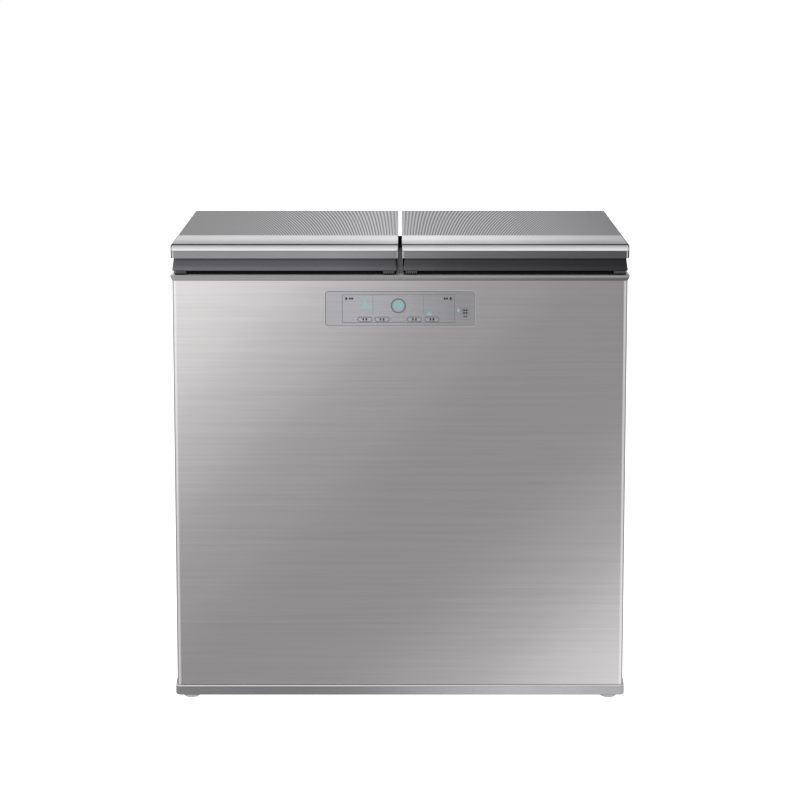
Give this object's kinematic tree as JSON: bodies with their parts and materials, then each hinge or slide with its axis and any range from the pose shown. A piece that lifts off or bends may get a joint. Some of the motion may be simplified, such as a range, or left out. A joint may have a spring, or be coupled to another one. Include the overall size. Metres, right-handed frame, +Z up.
{
  "type": "kimchi refrigerator",
  "caption": "Free-standing chest refrigerator for kimchi with side-by-side top lids on rear hinges, stepped wells, front control panel and a vented machine compartment.",
  "frame": {"origin": "middle of the outline at floor level, where the feet and rollers stand", "axes": "+X to the right seen from the front, +Y from the front towards the wall, +Z up"},
  "size_m": [0.925, 0.74, 0.94],
  "materials": {
    "brushed_steel_panel": "satin",
    "side_paint": "satin",
    "zinc_steel": "satin",
    "frame_plastic": "satin",
    "black_rubber": "matte",
    "liner_plastic": "satin",
    "foam": "matte",
    "copper_tube": "satin",
    "compressor_black": "satin",
    "fin_metal": "satin",
    "dark_plastic": "matte",
    "pale_plastic": "satin",
    "panel_plastic": "satin",
    "board": "satin",
    "lamp_lens": "gloss",
    "button_plastic": "satin",
    "spring_steel": "satin",
    "foot_plastic": "satin",
    "lid_silver": "satin",
    "lid_pattern": "gloss",
    "lid_dark_plastic": "satin",
    "gasket_rubber": "matte",
    "container_plastic": "satin",
    "container_lid_plastic": "satin"
  },
  "bodies": {
    "cabinet": {"front_panel": "brushed_steel_panel", "left_side_panel": "side_paint", "right_side_panel": "side_paint", "back_panel": "zinc_steel", "bulkhead": "zinc_steel", "machine_cover": "zinc_steel", "base_pan": "zinc_steel", "plinth": "frame_plastic", "top_frame": "frame_plastic", "lid_bumpers": "black_rubber", "left_liner": "liner_plastic", "right_liner": "liner_plastic", "foam_insulation": "foam", "left_evaporator": "copper_tube", "right_evaporator": "copper_tube", "compressor": "compressor_black", "compressor_mounts": "black_rubber", "condenser": "fin_metal", "refrigerant_lines": "copper_tube", "fan_motor": "dark_plastic", "main_board": "pale_plastic", "power_inlet": "dark_plastic", "temperature_sensors": "dark_plastic", "drain_plugs": "pale_plastic", "control_panel": "panel_plastic", "control_housing": "dark_plastic", "display_board": "board", "display_lens": "lamp_lens", "hinge_brackets": "zinc_steel", "hinge_springs": "spring_steel", "hinge_covers": "frame_plastic", "roller_brackets": "zinc_steel"},
    "left_lid": {"left_lid_cover": "lid_silver", "left_lid_panel": "lid_pattern", "left_lid_frame": "lid_dark_plastic", "left_lid_liner": "liner_plastic", "left_lid_foam": "foam", "left_lid_gasket": "gasket_rubber", "left_hinge_arms": "zinc_steel"},
    "left_container": {"left_container": "container_plastic"},
    "left_container_lid": {"left_container_lid": "container_lid_plastic"},
    "left_foot": {"left_foot": "foot_plastic"},
    "left_roller": {"left_roller": "dark_plastic"},
    "right_lid": {"right_lid_cover": "lid_silver", "right_lid_panel": "lid_pattern", "right_lid_frame": "lid_dark_plastic", "right_lid_liner": "liner_plastic", "right_lid_foam": "foam", "right_lid_gasket": "gasket_rubber", "right_hinge_arms": "zinc_steel"},
    "right_container": {"right_container": "container_plastic"},
    "right_container_lid": {"right_container_lid": "container_lid_plastic"},
    "right_foot": {"right_foot": "foot_plastic"},
    "right_roller": {"right_roller": "dark_plastic"},
    "fan": {"fan_blade": "pale_plastic"},
    "button_left_warm": {"button_left_warm": "button_plastic"},
    "button_left_cool": {"button_left_cool": "button_plastic"},
    "button_right_warm": {"button_right_warm": "button_plastic"},
    "button_right_cool": {"button_right_cool": "button_plastic"},
    "button_lock": {"button_lock": "button_plastic"}
  },
  "joints": [
    {"name": "left_lid_hinge", "type": "hinge", "parent": "cabinet", "child": "left_lid", "pos_m": [-0.23212, 0.335, 0.914], "axis": [-1, 0, 0], "range_deg": [0, 80], "stiffness_Nm_per_rad": 4.5, "springref_deg": 100.27},
    {"name": "right_lid_hinge", "type": "hinge", "parent": "cabinet", "child": "right_lid", "pos_m": [0.23212, 0.335, 0.914], "axis": [-1, 0, 0], "range_deg": [0, 80], "stiffness_Nm_per_rad": 4.5, "springref_deg": 100.27},
    {"name": "button_left_warm_press", "type": "slide", "parent": "cabinet", "child": "button_left_warm", "axis": [0, 1, 0], "range_m": [0, 0.0008], "stiffness_N_per_m": 900},
    {"name": "button_left_cool_press", "type": "slide", "parent": "cabinet", "child": "button_left_cool", "axis": [0, 1, 0], "range_m": [0, 0.0008], "stiffness_N_per_m": 900},
    {"name": "button_right_warm_press", "type": "slide", "parent": "cabinet", "child": "button_right_warm", "axis": [0, 1, 0], "range_m": [0, 0.0008], "stiffness_N_per_m": 900},
    {"name": "button_right_cool_press", "type": "slide", "parent": "cabinet", "child": "button_right_cool", "axis": [0, 1, 0], "range_m": [0, 0.0008], "stiffness_N_per_m": 900},
    {"name": "button_lock_press", "type": "slide", "parent": "cabinet", "child": "button_lock", "axis": [0, 1, 0], "range_m": [0, 0.0008], "stiffness_N_per_m": 900},
    {"name": "fan_spin", "type": "hinge", "parent": "cabinet", "child": "fan", "pos_m": [-0.02, 0.2205, 0.1605], "axis": [1, 0, 0], "continuous": true},
    {"name": "left_roller_spin", "type": "hinge", "parent": "cabinet", "child": "left_roller", "pos_m": [-0.4, 0.301, 0.013], "axis": [1, 0, 0], "continuous": true},
    {"name": "left_foot_turn", "type": "hinge", "parent": "cabinet", "child": "left_foot", "pos_m": [-0.43, -0.343, 0], "axis": [0, 0, 1], "continuous": true},
    {"name": "left_container_lift", "type": "slide", "parent": "cabinet", "child": "left_container", "axis": [0, 0, 1], "range_m": [0, 0.3]},
    {"name": "left_container_lid_lift", "type": "slide", "parent": "left_container", "child": "left_container_lid", "axis": [0, 0, 1], "range_m": [0, 0.15]},
    {"name": "right_roller_spin", "type": "hinge", "parent": "cabinet", "child": "right_roller", "pos_m": [0.4, 0.301, 0.013], "axis": [1, 0, 0], "continuous": true},
    {"name": "right_foot_turn", "type": "hinge", "parent": "cabinet", "child": "right_foot", "pos_m": [0.43, -0.343, 0], "axis": [0, 0, 1], "continuous": true},
    {"name": "right_container_lift", "type": "slide", "parent": "cabinet", "child": "right_container", "axis": [0, 0, 1], "range_m": [0, 0.3]},
    {"name": "right_container_lid_lift", "type": "slide", "parent": "right_container", "child": "right_container_lid", "axis": [0, 0, 1], "range_m": [0, 0.15]}
  ]
}
